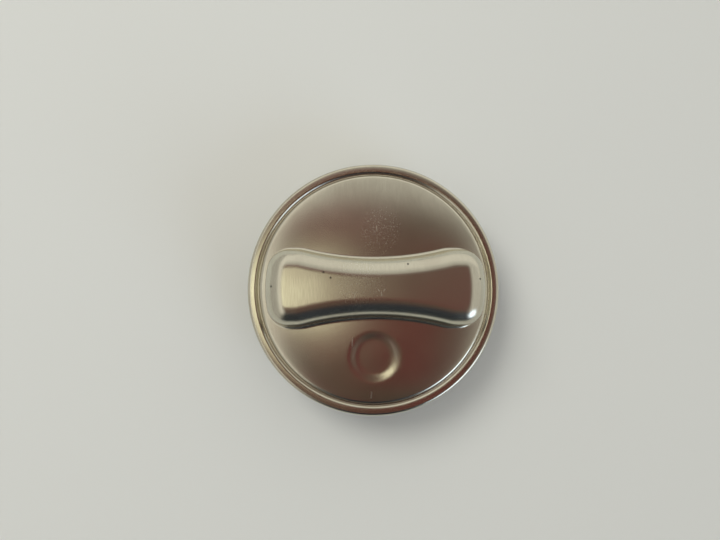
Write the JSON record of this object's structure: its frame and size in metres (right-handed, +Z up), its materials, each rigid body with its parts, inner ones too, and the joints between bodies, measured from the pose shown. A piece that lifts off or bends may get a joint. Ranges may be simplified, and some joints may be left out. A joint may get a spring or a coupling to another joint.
{
  "type": "fuel tank cap",
  "caption": "Round pressed steel fuel tank cap with a raised grip, a sprung bayonet closure, a ring gasket and a breather valve.",
  "frame": {"origin": "middle of the ring under the bayonet plate that the cap stands on", "axes": "+Z up through the grip, X along the grip and through the two lugs"},
  "size_m": [0.062, 0.062, 0.0261],
  "materials": {
    "shell_steel": "satin drawn stainless, warm grey",
    "plated_steel": "zinc plated",
    "gasket_rubber": "matt black nitrile",
    "spring_steel": "bright spring steel",
    "lug_plate": "yellow zinc plated",
    "rivet_metal": "satin",
    "valve_metal": "plated",
    "valve_plastic": "natural acetal"
  },
  "bodies": {
    "cap": {"cap_shell": "shell_steel", "carrier_plate": "plated_steel", "sealing_gasket": "gasket_rubber", "wave_spring": "spring_steel"},
    "closure": {"closure_cup": "plated_steel", "bayonet_plate": "lug_plate", "splash_baffle": "plated_steel", "spring_cage": "plated_steel", "closure_rivets": "rivet_metal", "pressure_spring": "spring_steel"},
    "pressure_valve": {"valve_seal": "gasket_rubber", "pressure_valve_plate": "valve_metal", "vacuum_spring": "spring_steel"},
    "vacuum_valve": {"vacuum_valve_disc": "valve_plastic", "stem_clip": "valve_metal"}
  },
  "joints": [
    {"name": "closure_slide", "type": "slide", "parent": "cap", "child": "closure", "axis": [0, 0, -1], "range_m": [0, 0.001], "stiffness_N_per_m": 4000, "springref_m": -0.004, "deforming": ["wave_spring"]},
    {"name": "pressure_lift", "type": "slide", "parent": "closure", "child": "pressure_valve", "axis": [0, 0, 1], "range_m": [0, 0.0015], "stiffness_N_per_m": 300, "springref_m": -0.006, "deforming": ["pressure_spring"]},
    {"name": "vacuum_drop", "type": "slide", "parent": "pressure_valve", "child": "vacuum_valve", "axis": [0, 0, -1], "range_m": [0, 0.001], "stiffness_N_per_m": 50, "springref_m": -0.003, "deforming": ["vacuum_spring"]}
  ]
}
